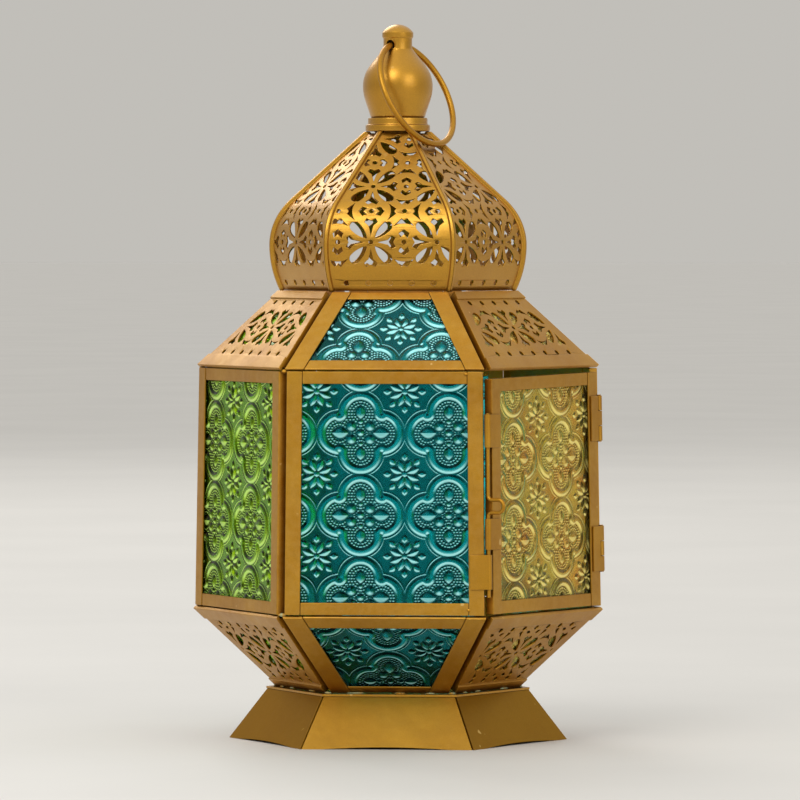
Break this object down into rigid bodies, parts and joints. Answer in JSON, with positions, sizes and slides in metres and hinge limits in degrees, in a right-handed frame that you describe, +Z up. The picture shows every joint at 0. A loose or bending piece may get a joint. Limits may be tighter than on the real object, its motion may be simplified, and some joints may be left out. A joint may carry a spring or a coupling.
{
  "type": "candle lantern",
  "caption": "Hexagonal fanous candle lantern: flared foot, coloured pressed-glass sides, hinged glass door with a wire bolt, pierced tapers and onion dome, bulb finial, hanging ring.",
  "frame": {"origin": "on the lantern's vertical axis, at the level of the foot's lower edge", "axes": "+Z up the axis; -Y out of the front teal panel; the door faces -30 degrees from +X, its hinge corner is on +X"},
  "size_m": [0.1486, 0.1316, 0.2571],
  "materials": {
    "gold_sheet": "satin gold paint",
    "gold_wire": "satin gold paint",
    "teal_glass": "pressed relief",
    "green_glass": "pressed relief",
    "amber_glass": "pressed relief"
  },
  "bodies": {
    "frame": {"body_frame_back": "gold_sheet", "body_frame_back_left": "gold_sheet", "body_frame_back_right": "gold_sheet", "body_frame_front": "gold_sheet", "body_frame_front_left": "gold_sheet", "body_glass_back": "teal_glass", "body_glass_back_left": "green_glass", "body_glass_back_right": "amber_glass", "body_glass_front": "teal_glass", "body_glass_front_left": "green_glass", "candle_cup": "gold_sheet", "dome_collar": "gold_sheet", "dome_panel_back": "gold_sheet", "dome_panel_back_left": "gold_sheet", "dome_panel_back_right": "gold_sheet", "dome_panel_front": "gold_sheet", "dome_panel_front_left": "gold_sheet", "dome_panel_front_right": "gold_sheet", "finial": "gold_sheet", "floor_plate": "gold_sheet", "foot_panel_back": "gold_sheet", "foot_panel_back_left": "gold_sheet", "foot_panel_back_right": "gold_sheet", "foot_panel_front": "gold_sheet", "foot_panel_front_left": "gold_sheet", "foot_panel_front_right": "gold_sheet", "frame_hinge_leaves": "gold_sheet", "hinge_pins": "gold_wire", "latch_keeper": "gold_sheet", "lower_frame_back": "gold_sheet", "lower_frame_front": "gold_sheet", "lower_glass_back": "teal_glass", "lower_glass_back_left": "green_glass", "lower_glass_back_right": "amber_glass", "lower_glass_front": "teal_glass", "lower_glass_front_left": "green_glass", "lower_glass_front_right": "amber_glass", "lower_grille_back_left": "gold_sheet", "lower_grille_back_right": "gold_sheet", "lower_grille_front_left": "gold_sheet", "lower_grille_front_right": "gold_sheet", "upper_frame_back": "gold_sheet", "upper_frame_front": "gold_sheet", "upper_glass_back": "teal_glass", "upper_glass_back_left": "green_glass", "upper_glass_back_right": "amber_glass", "upper_glass_front": "teal_glass", "upper_glass_front_left": "green_glass", "upper_glass_front_right": "amber_glass", "upper_grille_back_left": "gold_sheet", "upper_grille_back_right": "gold_sheet", "upper_grille_front_left": "gold_sheet", "upper_grille_front_right": "gold_sheet"},
    "door": {"door_frame": "gold_sheet", "door_glass": "amber_glass", "door_hinge_leaves": "gold_sheet", "latch_tabs": "gold_sheet"},
    "latch_bolt": {"latch_bolt": "gold_wire"},
    "hanging_ring": {"hanging_ring": "gold_wire"}
  },
  "joints": [
    {"name": "door_hinge", "type": "hinge", "parent": "frame", "child": "door", "pos_m": [0.07357, 0, 0.04805], "axis": [-0.0175, 0, 0.9998], "range_deg": [0, 150]},
    {"name": "bolt_slide", "type": "slide", "parent": "door", "child": "latch_bolt", "axis": [-0.0088, 0.0152, 0.9998], "range_m": [0, 0.0165]},
    {"name": "ring_swing", "type": "hinge", "parent": "frame", "child": "hanging_ring", "pos_m": [0, 0, 0.24962], "axis": [-0.5, -0.866, 0], "range_deg": [0, 308]}
  ]
}
